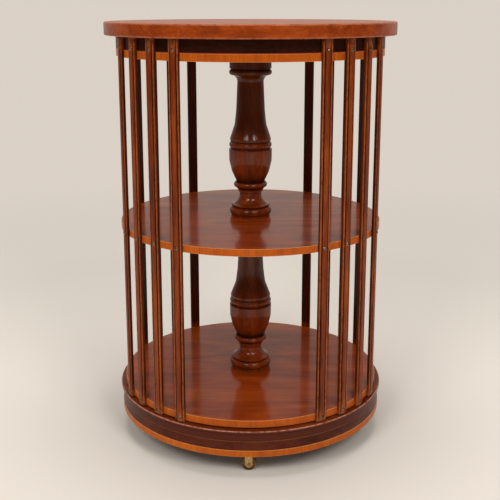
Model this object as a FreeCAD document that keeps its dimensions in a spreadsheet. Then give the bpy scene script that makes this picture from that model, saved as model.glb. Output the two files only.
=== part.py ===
import FreeCAD, Part

import math
import os

import Sketcher
from FreeCAD import Placement, Rotation, Vector

# Revolving bookcase on casters: a fixed plinth with a spindle, and a case of
# three round boards, two turned columns and sixteen slats that turns on it.
# Millimetres and degrees, +Z up, origin on the floor under the spindle,
# -Y the front. Angles are measured from the front towards +X.

BAYS = 4
HALVES = 2
SLATS_PER_GROUP = 4
CASTERS = 4
PLATE_SCREWS = 3
FLANGE_SCREWS = 4
TOP_SCREWS = 4
NUT_SIDES = 6
FULL_TURN = 360
ROUGH = 1e-6

SIZES = {
    # Case
    "board_radius": 230,
    "board_thickness": 12,
    "band_thickness": 1.5,
    "band_round": 0.6,
    "lower_tier": 276,
    "upper_tier": 286,
    "frieze_height": 22,
    "frieze_wall": 16,
    "top_overhang": 13,
    "top_thickness": 22,
    "top_round": 2.2,
    # Slats
    "slat_width": 18,
    "slat_thickness": 6.5,
    "slat_spacing": 11.5,
    "group_lean": 2.1,
    "slat_foot_gap": 2,
    "slat_bead": 3,
    "slat_bead_rise": 1.2,
    "slat_quirk": 1.1,
    "slat_quirk_depth": 2.3,
    "slat_crown_rise": 1.1,
    # Slat screws
    "hole_clearance": 0.1,
    "screw_point": 4,
    "slat_screw_radius": 1.75,
    "slat_screw_length": 25,
    "slat_head_radius": 3.5,
    "slat_head_rise": 2.1,
    "frieze_screw_height": 4,
    # Screws of the top
    "top_screw_radius": 2.2,
    "top_screw_grip": 12,
    "top_head_radius": 4.4,
    "top_head_rise": 2.4,
    # Plinth
    "running_gap": 3,
    "plinth_ledge": 2.5,
    "plinth_thickness": 18.5,
    "plinth_lip": 5,
    "plinth_round": 2,
    "drum_setback": 3.4,
    "drum_wall": 18,
    "drum_height": 27.5,
    "crossband_height": 11,
    "crossband_depth": 1.8,
    "crossband_proud": 0.8,
    "crossband_round": 0.6,
    "string_height": 1.4,
    "string_depth": 1.2,
    "rail_width": 60,
    # Spindle and bearings
    "spindle_radius": 8,
    "spindle_clearance": 0.05,
    "spindle_chamfer": 2,
    "spindle_top_gap": 3,
    "shaft_room": 2,
    "bush_wall": 4,
    "lower_bush_lip": 12,
    "top_bush_lip": 8,
    "top_bush_lip_thickness": 2.5,
    "washer_setback": 2,
    "washer_thickness": 1.5,
    "nut_wall": 5,
    "nut_height": 10,
    "end_play": 0.3,
    "flange_hub_wall": 8,
    "flange_hub_height": 8,
    "flange_thickness": 4,
    "flange_screw_inset": 13,
    "flange_screw_radius": 2.25,
    "flange_screw_length": 22,
    "flange_head_radius": 4.5,
    "flange_head_rise": 2.4,
    # Column members, from the foot up
    "foot_radius": 34.5,
    "foot_height": 3,
    "torus_radius": 37.3,
    "torus_rise": 4.3,
    "torus_height": 14.5,
    "lip_quirk_radius": 31,
    "lip_quirk_height": 2,
    "lip_radius": 33.8,
    "lip_height": 2.9,
    "scotia_radius": 19.3,
    "scotia_height": 17.6,
    "waist_height": 5,
    "fillet_radius": 22,
    "fillet_height": 2.5,
    "cove_height": 5,
    "collar_radius": 29.6,
    "collar_rise": 4.4,
    "collar_height": 10,
    "vase_foot_radius": 24.3,
    "vase_radius": 38.4,
    "vase_belly": 49.5,
    "vase_height": 59,
    "belt_quirk_radius": 35,
    "belt_quirk": 2.5,
    "belt_rise": 2.6,
    "belt_height": 10,
    "shoulder_radius": 36,
    "shoulder_height": 4,
    "neck_sweep": 49.5,
    "neck_taper": 2.2,
    "lower_neck_radius": 21.5,
    "upper_neck_radius": 23,
    "flare_radius": 33.6,
    "flare_height": 12,
    "capital_radius": 37.3,
    "capital_rise": 2.7,
    "capital_height": 9.4,
    "capital_quirk_radius": 34,
    "capital_quirk_height": 1.6,
    "abacus_radius": 36.6,
    "abacus_height": 24,
    # Casters
    "caster_inset": 11.6,
    "caster_trail": 3,
    "wheel_radius": 12.5,
    "wheel_width": 9,
    "wheel_gap": 0.4,
    "wheel_round": 1.2,
    "wheel_hub_wall": 2.6,
    "wheel_rim_wall": 2.6,
    "wheel_recess": 1.3,
    "wheel_headroom": 4.3,
    "axle_radius": 2,
    "axle_clearance": 0.05,
    "axle_head_lip": 0.8,
    "axle_head_rise": 0.7,
    "cheek_width": 12.6,
    "cheek_thickness": 2.2,
    "rivet_setback": 0.5,
    "rivet_height": 1.6,
    "swivel_gap": 0.3,
    "swivel_pin_radius": 3,
    "swivel_clearance": 0.05,
    "crown_radius": 9.5,
    "crown_thickness": 4,
    "plate_thickness": 2.5,
    "plate_round": 0.8,
    "plate_rim": 1.5,
    "plate_screw_gap": 2,
    "plate_screw_radius": 1.6,
    "plate_screw_length": 13,
    "plate_head_radius": 3,
    "plate_head_rise": 1.4,
}


class Size:
    """A length or an angle: its number now, and the formula that binds it."""

    def __init__(self, value, formula):
        self.value = float(value)
        self.formula = formula

    def joined(self, sign, other, value):
        return Size(value, f"({self.formula} {sign} {size(other).formula})")

    def __add__(self, other):
        return self.joined("+", other, self.value + size(other).value)

    def __sub__(self, other):
        return self.joined("-", other, self.value - size(other).value)

    def __mul__(self, other):
        return self.joined("*", other, self.value * size(other).value)

    def __truediv__(self, other):
        return self.joined("/", other, self.value / size(other).value)

    def __radd__(self, other):
        return size(other) + self

    def __rsub__(self, other):
        return size(other) - self

    def __rmul__(self, other):
        return size(other) * self

    def __neg__(self):
        return size(0) - self


def size(value):
    """Any number or Size as a Size."""
    return value if isinstance(value, Size) else Size(value, f"({value!r})")


def cosine(angle):
    return Size(math.cos(math.radians(angle.value)), f"cos({angle.formula})")


def sine(angle):
    return Size(math.sin(math.radians(angle.value)), f"sin({angle.formula})")


def square_root(value):
    return Size(math.sqrt(value.value), f"sqrt({value.formula})")


def bow(half_chord, rise):
    """Radius of an arc from half its chord and its rise."""
    return (half_chord * half_chord + rise * rise) / (2 * rise)


doc = FreeCAD.newDocument("RevolvingBookcase")
sheet = doc.addObject("Spreadsheet::Sheet", "Sizes")
for row, (name, number) in enumerate(SIZES.items(), start=1):
    sheet.set(f"A{row}", name)
    sheet.set(f"B{row}", str(number))
    sheet.setAlias(f"B{row}", name)
doc.recompute()


def cell(name):
    """The size that the sheet holds under this alias."""
    return Size(getattr(sheet, name), f"Sizes.{name}")


def bind(obj, prop, value):
    """Binds a property of an object to a size."""
    obj.setExpression(prop, size(value).formula)


# Bodies, sketches and features

parts = []


def origin(body, role):
    """A plane or an axis of the body's own origin."""
    return [item for item in body.Origin.OriginFeatures if item.Role == role][0]


def new_body(label, height=0, turn=0):
    """An empty body, raised to a height and turned about the spindle's axis."""
    body = doc.addObject("PartDesign::Body", label)
    body.Label = label
    bind(body, "Placement.Base.z", height)
    bind(body, "Placement.Rotation.Angle", turn)
    parts.append(body)
    return body


def new_sketch(body, role="XY_Plane", shift=(0, 0, 0), turn=None):
    """A sketch on a plane of the body, shifted, or turned about its own vertical."""
    sketch = body.newObject("Sketcher::SketchObject", "sketch")
    sketch.AttachmentSupport = [(origin(body, role), "")]
    sketch.MapMode = "FlatFace"
    if turn is not None:
        spin = Rotation(Vector(0, 1, 0), turn.value)
        sketch.AttachmentOffset = Placement(Vector(0, 0, 0), spin)
        bind(sketch, "AttachmentOffset.Rotation.Angle", turn)
    for axis, length in zip("xyz", shift):
        if size(length).value:
            bind(sketch, f"AttachmentOffset.Base.{axis}", length)
    return sketch


def hold_point(sketch, geo, end, x, y):
    """Holds a sketch point at x, y."""
    for kind, axis, value in (("DistanceX", -2, x), ("DistanceY", -1, y)):
        if abs(value.value) < ROUGH:
            sketch.addConstraint(Sketcher.Constraint("PointOnObject", geo, end, axis))
            continue
        held = sketch.addConstraint(Sketcher.Constraint(kind, geo, end, value.value))
        bind(sketch, f"Constraints[{held}]", value)


def hold_radius(sketch, geo, radius):
    held = sketch.addConstraint(Sketcher.Constraint("Radius", geo, radius.value))
    bind(sketch, f"Constraints[{held}]", radius)


def circle(sketch, radius, x=0, y=0):
    """A circle in a sketch, held by its centre and radius."""
    radius, x, y = size(radius), size(x), size(y)
    centre = Vector(x.value, y.value, 0)
    geo = sketch.addGeometry(Part.Circle(centre, Vector(0, 0, 1), radius.value))
    hold_radius(sketch, geo, radius)
    hold_point(sketch, geo, 3, x, y)


def line_to(x, y):
    """A corner of an outline, reached by a straight line."""
    return size(x), size(y), None, 0


def arc_to(x, y, radius, side="right"):
    """A corner reached by an arc that bulges to the right or left of the way."""
    return size(x), size(y), size(radius), 1 if side == "right" else -1


def outline(sketch, corners):
    """A closed outline through the corners, with every corner and radius held."""
    ends = []
    for index, (x, y, radius, side) in enumerate(corners):
        before_x, before_y = corners[index - 1][:2]
        start = Vector(before_x.value, before_y.value, 0)
        end = Vector(x.value, y.value, 0)
        if radius is None:
            geo = sketch.addGeometry(Part.LineSegment(start, end))
            ends.append((geo, 1, 2))
            continue
        chord = end - start
        across = Vector(-chord.y, chord.x, 0).normalize()
        reach = math.sqrt(max(radius.value ** 2 - (chord.Length / 2) ** 2, 0))
        centre = (start + end) * 0.5 + across * (side * reach)
        first, last = (start, end) if side > 0 else (end, start)
        low, high = [math.atan2(p.y - centre.y, p.x - centre.x) for p in (first, last)]
        if high < low:
            high += 2 * math.pi
        whole = Part.Circle(centre, Vector(0, 0, 1), radius.value)
        geo = sketch.addGeometry(Part.ArcOfCircle(whole, low, high))
        ends.append((geo, 1, 2) if side > 0 else (geo, 2, 1))
    for index, (geo, _, end) in enumerate(ends):
        after, start, _ = ends[(index + 1) % len(ends)]
        sketch.addConstraint(Sketcher.Constraint("Coincident", geo, end, after, start))
    for (x, y, radius, _), (geo, _, end) in zip(corners, ends):
        hold_point(sketch, geo, end, x, y)
        if radius is not None:
            hold_radius(sketch, geo, radius)


def finish(body, feature):
    """Makes a feature the body's result."""
    body.Tip = feature
    doc.recompute()
    return feature


def pad(body, sketch, length, symmetric=False):
    feature = body.newObject("PartDesign::Pad", "pad")
    feature.Profile = sketch
    feature.SideType = "Symmetric" if symmetric else "One side"
    bind(feature, "Length", length)
    return finish(body, feature)


def pocket(body, sketch, length, upwards=False, symmetric=False):
    """A pocket against the sketch's normal, or along it, that has to cut wood."""
    before = body.Shape.Volume
    feature = body.newObject("PartDesign::Pocket", "pocket")
    feature.Profile = sketch
    feature.Reversed = upwards
    feature.SideType = "Symmetric" if symmetric else "One side"
    bind(feature, "Length", length)
    finish(body, feature)
    if body.Shape.Volume >= before:
        raise RuntimeError(f"{body.Label}: a pocket cuts nothing")
    return feature


def turning(body, sketch, axis):
    """The sketch turned once round one of its own axes."""
    feature = body.newObject("PartDesign::Revolution", "turning")
    feature.Profile = sketch
    feature.ReferenceAxis = (sketch, [axis])
    feature.Angle = FULL_TURN
    return finish(body, feature)


def repeat_round(body, features, count):
    """The features again, evenly round the spindle's axis."""
    feature = body.newObject("PartDesign::PolarPattern", "round")
    feature.Originals = features
    feature.Axis = (origin(body, "Z_Axis"), [""])
    feature.Angle = FULL_TURN
    feature.Occurrences = count
    return finish(body, feature)


def ease_rim(body, radius, height, fillet):
    """A fillet on the round edge that has this radius and height."""
    solid = body.Tip
    rim = Vector(0, 0, size(height).value)
    names = []
    for index, edge in enumerate(solid.Shape.Edges, start=1):
        curve = edge.Curve
        if isinstance(curve, Part.Circle) and curve.Center.isEqual(rim, ROUGH):
            if abs(curve.Radius - radius.value) < ROUGH:
                names.append(f"Edge{index}")
    feature = body.newObject("PartDesign::Fillet", "fillet")
    feature.Base = (solid, names)
    bind(feature, "Radius", fillet)
    return finish(body, feature)


def ring(label, outer, inner, thickness, height):
    """A flat ring at a height."""
    body = new_body(label, height)
    sketch = new_sketch(body)
    circle(sketch, outer)
    circle(sketch, inner)
    pad(body, sketch, thickness)
    return body


def upright_holes(body, radius, places, height, depth, upwards=False):
    """Holes along Z at these places, cut from a height."""
    sketch = new_sketch(body, shift=(0, 0, height))
    for x, y in places:
        circle(sketch, radius, x, y)
    return pocket(body, sketch, depth, upwards)


def ring_places(radius, count, start):
    """Places evenly round a circle from a start angle."""
    turns = [size(start) + FULL_TURN / count * index for index in range(count)]
    return [(radius * sine(turn), -radius * cosine(turn)) for turn in turns]


# Sizes that more than one piece shares

wheel_radius = cell("wheel_radius")
slot_width = cell("wheel_width") + 2 * cell("wheel_gap")
fork_width = slot_width + 2 * cell("cheek_thickness")
rivet_foot = 2 * wheel_radius + cell("wheel_headroom")
rivet_top = rivet_foot + cell("rivet_height")
crown_bottom = rivet_top + cell("swivel_gap")
crown_top = crown_bottom + cell("crown_thickness")
plate_bottom = crown_top + cell("swivel_gap")

drum_bottom = plate_bottom + cell("plate_thickness")
plinth_bottom = drum_bottom + cell("drum_height")
plinth_top = plinth_bottom + cell("plinth_thickness")
lower_bottom = plinth_top + cell("running_gap")
lower_top = lower_bottom + cell("board_thickness")
middle_bottom = lower_top + cell("lower_tier")
middle_top = middle_bottom + cell("board_thickness")
upper_bottom = middle_top + cell("upper_tier")
upper_top = upper_bottom + cell("board_thickness")
top_bottom = upper_top + cell("frieze_height")

board_radius = cell("board_radius")
board_thickness = cell("board_thickness")
core_radius = board_radius - cell("band_thickness")
slat_face_radius = board_radius + cell("slat_thickness")
top_radius = slat_face_radius + cell("top_overhang")
top_screw_circle = board_radius - cell("frieze_wall") / 2
plinth_radius = slat_face_radius + cell("plinth_ledge")
drum_radius = plinth_radius - cell("drum_setback")
drum_bore = drum_radius - cell("drum_wall")
drum_height = cell("drum_height")

spindle_radius = cell("spindle_radius")
close_bore = spindle_radius + cell("spindle_clearance")
free_bore = spindle_radius + cell("shaft_room")
bush_radius = spindle_radius + cell("bush_wall")
hub_radius = spindle_radius + cell("flange_hub_wall")
flange_screw_circle = hub_radius + cell("flange_screw_inset")
flange_radius = flange_screw_circle + cell("flange_screw_inset")
flange_thickness = cell("flange_thickness")
flange_bottom = drum_bottom - flange_thickness

caster_circle = drum_bore - cell("caster_inset")
plate_screw_circle = (cell("crown_radius") + cell("plate_screw_gap")
                      + cell("plate_head_radius"))
plate_radius = plate_screw_circle + cell("plate_head_radius") + cell("plate_rim")
plate_screw_depth = cell("plate_screw_length") - cell("plate_thickness")

middle_of_group = (SLATS_PER_GROUP - 1) / 2
bay_angle = FULL_TURN / BAYS
caster_angle = FULL_TURN / CASTERS


def slat_turns(quarter):
    """Angles of a quarter's four slats, from its start. The group leans to the side bay."""
    lean = cell("group_lean") if quarter % 2 == 0 else -cell("group_lean")
    middle = bay_angle / 2 + lean
    return [middle + cell("slat_spacing") * (index - middle_of_group)
            for index in range(SLATS_PER_GROUP)]


slat_angles = [bay_angle * quarter + turn for quarter in range(HALVES)
               for turn in slat_turns(quarter)]
screw_heights = [
    lower_bottom + board_thickness / 2,
    middle_bottom + board_thickness / 2,
    upper_top + cell("frieze_screw_height"),
]


# Screws: a domed head under a seat, a shank and a point

def screw_outline(sketch, name, length, across=False):
    """Half a screw from its seat at the sketch's origin, upwards or along +X."""
    shank, head = cell(f"{name}_screw_radius"), cell(f"{name}_head_radius")
    rise = cell(f"{name}_head_rise")
    corners = [
        (0, -rise, None),
        (head, 0, bow(head, rise)),
        (shank, 0, None),
        (shank, length - cell("screw_point"), None),
        (0, length, None),
    ]
    shaped = []
    for out, along, radius in corners:
        x, y = (along, out) if across else (out, along)
        side = "left" if across else "right"
        shaped.append(line_to(x, y) if radius is None else arc_to(x, y, radius, side))
    outline(sketch, shaped)


def screw_group(label):
    """Body of a group of separate screws."""
    body = new_body(label)
    body.AllowCompound = True
    return body


def upright_screws(body, name, places, copies, seat, length):
    """Screws driven upwards at these places, repeated round the spindle."""
    turned = []
    for x, y in places:
        sketch = new_sketch(body, "XZ_Plane", (x, seat, -y))
        screw_outline(sketch, name, length)
        turned.append(turning(body, sketch, "V_Axis"))
    repeat_round(body, turned, copies)


def slat_screws(body, height):
    """One screw through each slat at a height, driven towards the spindle."""
    turned = []
    for angle in slat_angles:
        shift = (-slat_face_radius * cosine(angle), height, slat_face_radius * sine(angle))
        sketch = new_sketch(body, "YZ_Plane", shift, angle)
        screw_outline(sketch, "slat", cell("slat_screw_length"), across=True)
        turned.append(turning(body, sketch, "H_Axis"))
    repeat_round(body, turned, HALVES)


def slat_screw_holes(body, radius, height, angles, copies):
    """Pilot holes from a round face inwards at these angles, repeated round the spindle."""
    depth = radius - (slat_face_radius - cell("slat_screw_length"))
    cuts = []
    for angle in angles:
        shift = (radius * sine(angle), height, radius * cosine(angle))
        sketch = new_sketch(body, "XZ_Plane", shift, angle)
        circle(sketch, cell("slat_screw_radius"))
        cuts.append(pocket(body, sketch, depth))
    if copies > 1:
        repeat_round(body, cuts, copies)


# Plinth: a board on a drum, stiffened by two half-lapped rails

def plate_screw_place(index):
    """Where a front caster plate's screw sits: the first one is outermost."""
    turn = size(FULL_TURN / PLATE_SCREWS * index)
    out = caster_circle + plate_screw_circle * cosine(turn)
    return plate_screw_circle * sine(turn), -out


def plinth_drum():
    """Bent ring with a rebate for the crossband and one for the string line."""
    body = new_body("plinth_drum", drum_bottom)
    sketch = new_sketch(body, "XZ_Plane")
    band_wall = drum_radius - cell("crossband_depth")
    band_top = cell("crossband_height")
    string_wall = drum_radius - cell("string_depth")
    string_foot = drum_height - cell("string_height")
    outline(sketch, [
        line_to(drum_bore, 0),
        line_to(band_wall, 0),
        line_to(band_wall, band_top),
        line_to(drum_radius, band_top),
        line_to(drum_radius, string_foot),
        line_to(string_wall, string_foot),
        line_to(string_wall, drum_height),
        line_to(drum_bore, drum_height),
    ])
    turning(body, sketch, "V_Axis")
    places = ring_places(caster_circle + plate_screw_circle, CASTERS, 0)
    hole = cell("plate_screw_radius")
    upright_holes(body, hole, places, 0, plate_screw_depth, upwards=True)


def plinth_trim():
    """Light crossband at the drum's foot and fine string line at its head."""
    proud = drum_radius + cell("crossband_proud")
    band = ring("plinth_crossband", proud, drum_radius - cell("crossband_depth"),
                cell("crossband_height"), drum_bottom)
    ease_rim(band, proud, cell("crossband_height"), cell("crossband_round"))
    ease_rim(band, proud, 0, cell("crossband_round"))
    ring("plinth_string", drum_radius, drum_radius - cell("string_depth"),
         cell("string_height"), plinth_bottom - cell("string_height"))


def plinth_board():
    """Board that closes the drum, flush with it but for a rounded lip at its top."""
    thickness = cell("plinth_thickness")
    lip_foot = thickness - cell("plinth_lip")
    body = new_body("plinth_board", plinth_bottom)
    sketch = new_sketch(body, "XZ_Plane")
    outline(sketch, [
        line_to(close_bore, 0),
        line_to(drum_radius, 0),
        line_to(drum_radius, lip_foot),
        line_to(plinth_radius, lip_foot),
        line_to(plinth_radius, thickness),
        line_to(close_bore, thickness),
    ])
    turning(body, sketch, "V_Axis")
    ease_rim(body, plinth_radius, thickness, cell("plinth_round"))
    ease_rim(body, plinth_radius, lip_foot, cell("plinth_round"))


def base_rail(label, turn, notch_on_top):
    """Rail across the drum, notched to half its depth where the other crosses."""
    body = new_body(label, drum_bottom, turn)
    half = cell("rail_width") / 2
    reach = square_root(drum_bore * drum_bore - half * half)
    sketch = new_sketch(body)
    outline(sketch, [
        line_to(reach, -half),
        arc_to(reach, half, drum_bore),
        line_to(-reach, half),
        arc_to(-reach, -half, drum_bore),
    ])
    pad(body, sketch, drum_height)
    lap = drum_height / 2
    notch = new_sketch(body, shift=(0, 0, drum_height if notch_on_top else 0))
    outline(notch, [
        line_to(half, -half),
        line_to(half, half),
        line_to(-half, half),
        line_to(-half, -half),
    ])
    pocket(body, notch, lap, upwards=not notch_on_top)
    lap_foot = size(0) if notch_on_top else lap
    upright_holes(body, free_bore, [(0, 0)], lap_foot, lap, upwards=True)
    screw_depth = cell("flange_screw_length") - flange_thickness
    places = ring_places(flange_screw_circle, FLANGE_SCREWS, bay_angle / 2)
    grip = lap if notch_on_top else screw_depth - lap
    upright_holes(body, cell("flange_screw_radius"), places, lap_foot, grip, upwards=True)
    ends = []
    for index in range(1, PLATE_SCREWS):
        side, out = plate_screw_place(index)
        ends += [(out, side), (-out, -side)]
    hole = cell("plate_screw_radius")
    upright_holes(body, hole, ends, 0, plate_screw_depth, upwards=True)


plinth_drum()
plinth_trim()
plinth_board()
base_rail("base_rail_lower", 0, notch_on_top=True)
base_rail("base_rail_upper", caster_angle, notch_on_top=False)


# Spindle: a steel post in a flange under the rails, with a nut at its head

spindle_foot = flange_bottom - cell("flange_hub_height")
lower_lip_radius = bush_radius + cell("lower_bush_lip")
top_lip_radius = bush_radius + cell("top_bush_lip")
top_lip_thickness = cell("top_bush_lip_thickness")


def spindle():
    """Straight post from the flange's hub to just under the top."""
    body = new_body("spindle")
    sketch = new_sketch(body, "XZ_Plane")
    head = top_bottom - cell("spindle_top_gap")
    chamfer = cell("spindle_chamfer")
    outline(sketch, [
        line_to(0, spindle_foot),
        line_to(spindle_radius, spindle_foot),
        line_to(spindle_radius, head - chamfer),
        line_to(spindle_radius - chamfer, head),
        line_to(0, head),
    ])
    turning(body, sketch, "V_Axis")


def spindle_flange():
    """Round plate with a hub that grips the spindle's foot."""
    body = new_body("spindle_flange", spindle_foot)
    sketch = new_sketch(body, "XZ_Plane")
    hub_top = cell("flange_hub_height")
    plate_top = hub_top + flange_thickness
    outline(sketch, [
        line_to(spindle_radius, 0),
        line_to(hub_radius, 0),
        line_to(hub_radius, hub_top),
        line_to(flange_radius, hub_top),
        line_to(flange_radius, plate_top),
        line_to(spindle_radius, plate_top),
    ])
    turning(body, sketch, "V_Axis")
    places = ring_places(flange_screw_circle, FLANGE_SCREWS, bay_angle / 2)
    hole = cell("flange_screw_radius") + cell("hole_clearance")
    upright_holes(body, hole, places, plate_top, flange_thickness)


def spindle_nut():
    """Hexagon nut that keeps the case on the spindle, with a little end play."""
    body = new_body("spindle_nut", upper_top + top_lip_thickness + cell("end_play"))
    sketch = new_sketch(body)
    corner = (spindle_radius + cell("nut_wall")) / cosine(size(FULL_TURN / NUT_SIDES / 2))
    outline(sketch, [line_to(x, y) for x, y in ring_places(corner, NUT_SIDES, 0)])
    circle(sketch, spindle_radius)
    pad(body, sketch, cell("nut_height"))


def lower_bush():
    """Bush in the lower board, with a lip that rides on the thrust washer."""
    body = new_body("lower_bush", lower_bottom)
    sketch = new_sketch(body, "XZ_Plane")
    lip = cell("running_gap") - cell("washer_thickness")
    outline(sketch, [
        line_to(close_bore, -lip),
        line_to(lower_lip_radius, -lip),
        line_to(lower_lip_radius, 0),
        line_to(bush_radius, 0),
        line_to(bush_radius, board_thickness),
        line_to(close_bore, board_thickness),
    ])
    turning(body, sketch, "V_Axis")


def top_bush():
    """Bush in the upper board, with its lip on top, under the nut."""
    body = new_body("top_bush", upper_bottom)
    sketch = new_sketch(body, "XZ_Plane")
    lip_top = board_thickness + top_lip_thickness
    outline(sketch, [
        line_to(close_bore, 0),
        line_to(bush_radius, 0),
        line_to(bush_radius, board_thickness),
        line_to(top_lip_radius, board_thickness),
        line_to(top_lip_radius, lip_top),
        line_to(close_bore, lip_top),
    ])
    turning(body, sketch, "V_Axis")


spindle()
spindle_flange()
underside_screws = screw_group("underside_screws")
upright_screws(underside_screws, "flange", ring_places(flange_screw_circle, 1, bay_angle / 2),
               FLANGE_SCREWS, flange_bottom, cell("flange_screw_length"))
ring("thrust_washer", lower_lip_radius - cell("washer_setback"), close_bore,
     cell("washer_thickness"), plinth_top)
spindle_nut()
lower_bush()
top_bush()


# Case: three equal boards with light edge bands, a frieze in segments and the top

def board(label, height, bore, screwed):
    """Round board core, with pilot holes in its edge where slats are screwed."""
    body = ring(label, core_radius, bore, board_thickness, height)
    if screwed:
        slat_screw_holes(body, core_radius, board_thickness / 2, slat_angles, HALVES)
    return body


def edge_band(label, height, screwed):
    """Light band round a board, with its two corners eased."""
    body = ring(label, board_radius, core_radius, board_thickness, height)
    ease_rim(body, board_radius, board_thickness, cell("band_round"))
    ease_rim(body, board_radius, 0, cell("band_round"))
    if screwed:
        slat_screw_holes(body, board_radius, board_thickness / 2, slat_angles, HALVES)


top_screw_places = ring_places(top_screw_circle, TOP_SCREWS, bay_angle / 2)
top_screw_hole = cell("top_screw_radius") + cell("hole_clearance")

board("lower_board", lower_bottom, bush_radius, screwed=True)
edge_band("lower_edge_band", lower_bottom, screwed=True)
board("middle_board", middle_bottom, free_bore, screwed=True)
edge_band("middle_edge_band", middle_bottom, screwed=True)
upper_board = board("upper_board", upper_bottom, bush_radius, screwed=False)
upright_holes(upper_board, top_screw_hole, top_screw_places, board_thickness, board_thickness)
edge_band("upper_edge_band", upper_bottom, screwed=False)


def frieze_segment(label, quarter):
    """A quarter of the dark ring between the upper board and the top."""
    height = cell("frieze_height")
    inner = board_radius - cell("frieze_wall")
    across, back = sine(size(bay_angle)), -cosine(size(bay_angle))
    body = new_body(label, upper_top, bay_angle * quarter)
    sketch = new_sketch(body)
    outline(sketch, [
        line_to(0, -board_radius),
        arc_to(board_radius * across, board_radius * back, board_radius),
        line_to(inner * across, inner * back),
        arc_to(0, -inner, inner, "left"),
    ])
    pad(body, sketch, height)
    upright_holes(body, top_screw_hole, top_screw_places[:1], height, height)
    screw_height = cell("frieze_screw_height")
    slat_screw_holes(body, board_radius, screw_height, slat_turns(quarter), copies=1)


def top_board():
    """Round top with eased edges, held by screws from below."""
    body = new_body("top_board", top_bottom)
    thickness = cell("top_thickness")
    sketch = new_sketch(body)
    circle(sketch, top_radius)
    pad(body, sketch, thickness)
    ease_rim(body, top_radius, thickness, cell("top_round"))
    ease_rim(body, top_radius, 0, cell("top_round"))
    upright_holes(body, cell("top_screw_radius"), top_screw_places, 0,
                  cell("top_screw_grip"), upwards=True)


for quarter in range(BAYS):
    frieze_segment(f"frieze_segment_{quarter + 1}", quarter)
top_board()


# Columns: turned and bored, one in each tier

def column(label, height, length, neck_radius):
    """Foot, scotia, collar, vase, belt and neck, under a small capital."""
    body = new_body(label, height)
    sketch = new_sketch(body, "XZ_Plane")
    torus_foot = cell("foot_height")
    torus_top = torus_foot + cell("torus_height")
    torus_root = cell("torus_radius") - cell("torus_rise")
    lip_foot = torus_top + cell("lip_quirk_height")
    lip_top = lip_foot + cell("lip_height")
    waist_foot = lip_top + cell("scotia_height")
    fillet_foot = waist_foot + cell("waist_height")
    fillet_top = fillet_foot + cell("fillet_height")
    collar_foot = fillet_top + cell("cove_height")
    collar_top = collar_foot + cell("collar_height")
    collar_root = cell("collar_radius") - cell("collar_rise")
    vase_top = collar_top + cell("vase_height")
    belt_foot = vase_top + cell("belt_quirk")
    belt_top = belt_foot + cell("belt_height")
    shoulder_foot = belt_top + cell("belt_quirk")
    shoulder_top = shoulder_foot + cell("shoulder_height")
    abacus_foot = length - cell("abacus_height")
    capital_top = abacus_foot - cell("capital_quirk_height")
    capital_foot = capital_top - cell("capital_height")
    capital_root = cell("capital_radius") - cell("capital_rise")
    flare_foot = capital_foot - cell("flare_height")
    neck_waist = shoulder_top + cell("neck_sweep")
    waist_radius = neck_radius + cell("neck_taper")
    torus = bow(cell("torus_height") / 2, cell("torus_rise"))
    scotia = bow(cell("scotia_height"), cell("lip_radius") - cell("scotia_radius"))
    collar = bow(cell("collar_height") / 2, cell("collar_rise"))
    vase = bow(cell("vase_belly"), cell("vase_radius") - cell("vase_foot_radius"))
    above_belly = cell("vase_height") - cell("vase_belly")
    vase_shoulder = (cell("vase_radius") - vase
                     + square_root(vase * vase - above_belly * above_belly))
    belt = bow(cell("belt_height") / 2, cell("belt_rise"))
    neck = bow(cell("neck_sweep"), cell("shoulder_radius") - waist_radius)
    flare = bow(cell("flare_height"), cell("flare_radius") - neck_radius)
    capital = bow(cell("capital_height") / 2, cell("capital_rise"))
    outline(sketch, [
        line_to(free_bore, 0),
        line_to(cell("foot_radius"), 0),
        line_to(cell("foot_radius"), torus_foot),
        line_to(torus_root, torus_foot),
        arc_to(torus_root, torus_top, torus),
        line_to(cell("lip_quirk_radius"), torus_top),
        line_to(cell("lip_quirk_radius"), lip_foot),
        line_to(cell("lip_radius"), lip_foot),
        line_to(cell("lip_radius"), lip_top),
        arc_to(cell("scotia_radius"), waist_foot, scotia, "left"),
        line_to(cell("scotia_radius"), fillet_foot),
        line_to(cell("fillet_radius"), fillet_foot),
        line_to(cell("fillet_radius"), fillet_top),
        line_to(collar_root, collar_foot),
        arc_to(collar_root, collar_top, collar),
        line_to(cell("vase_foot_radius"), collar_top),
        arc_to(vase_shoulder, vase_top, vase),
        line_to(cell("belt_quirk_radius"), vase_top),
        line_to(cell("belt_quirk_radius"), belt_foot),
        arc_to(cell("belt_quirk_radius"), belt_top, belt),
        line_to(cell("belt_quirk_radius"), shoulder_foot),
        line_to(cell("shoulder_radius"), shoulder_foot),
        line_to(cell("shoulder_radius"), shoulder_top),
        arc_to(waist_radius, neck_waist, neck, "left"),
        line_to(neck_radius, flare_foot),
        arc_to(cell("flare_radius"), capital_foot, flare, "left"),
        line_to(capital_root, capital_foot),
        arc_to(capital_root, capital_top, capital),
        line_to(cell("capital_quirk_radius"), capital_top),
        line_to(cell("capital_quirk_radius"), abacus_foot),
        line_to(cell("abacus_radius"), abacus_foot),
        line_to(cell("abacus_radius"), length),
        line_to(free_bore, length),
    ])
    turning(body, sketch, "V_Axis")


column("lower_column", lower_top, cell("lower_tier"), cell("lower_neck_radius"))
column("upper_column", middle_top, cell("upper_tier"), cell("upper_neck_radius"))


# Slats: moulded strips outside the boards, from the plinth to the top

slat_foot = plinth_top + cell("slat_foot_gap")


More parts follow.
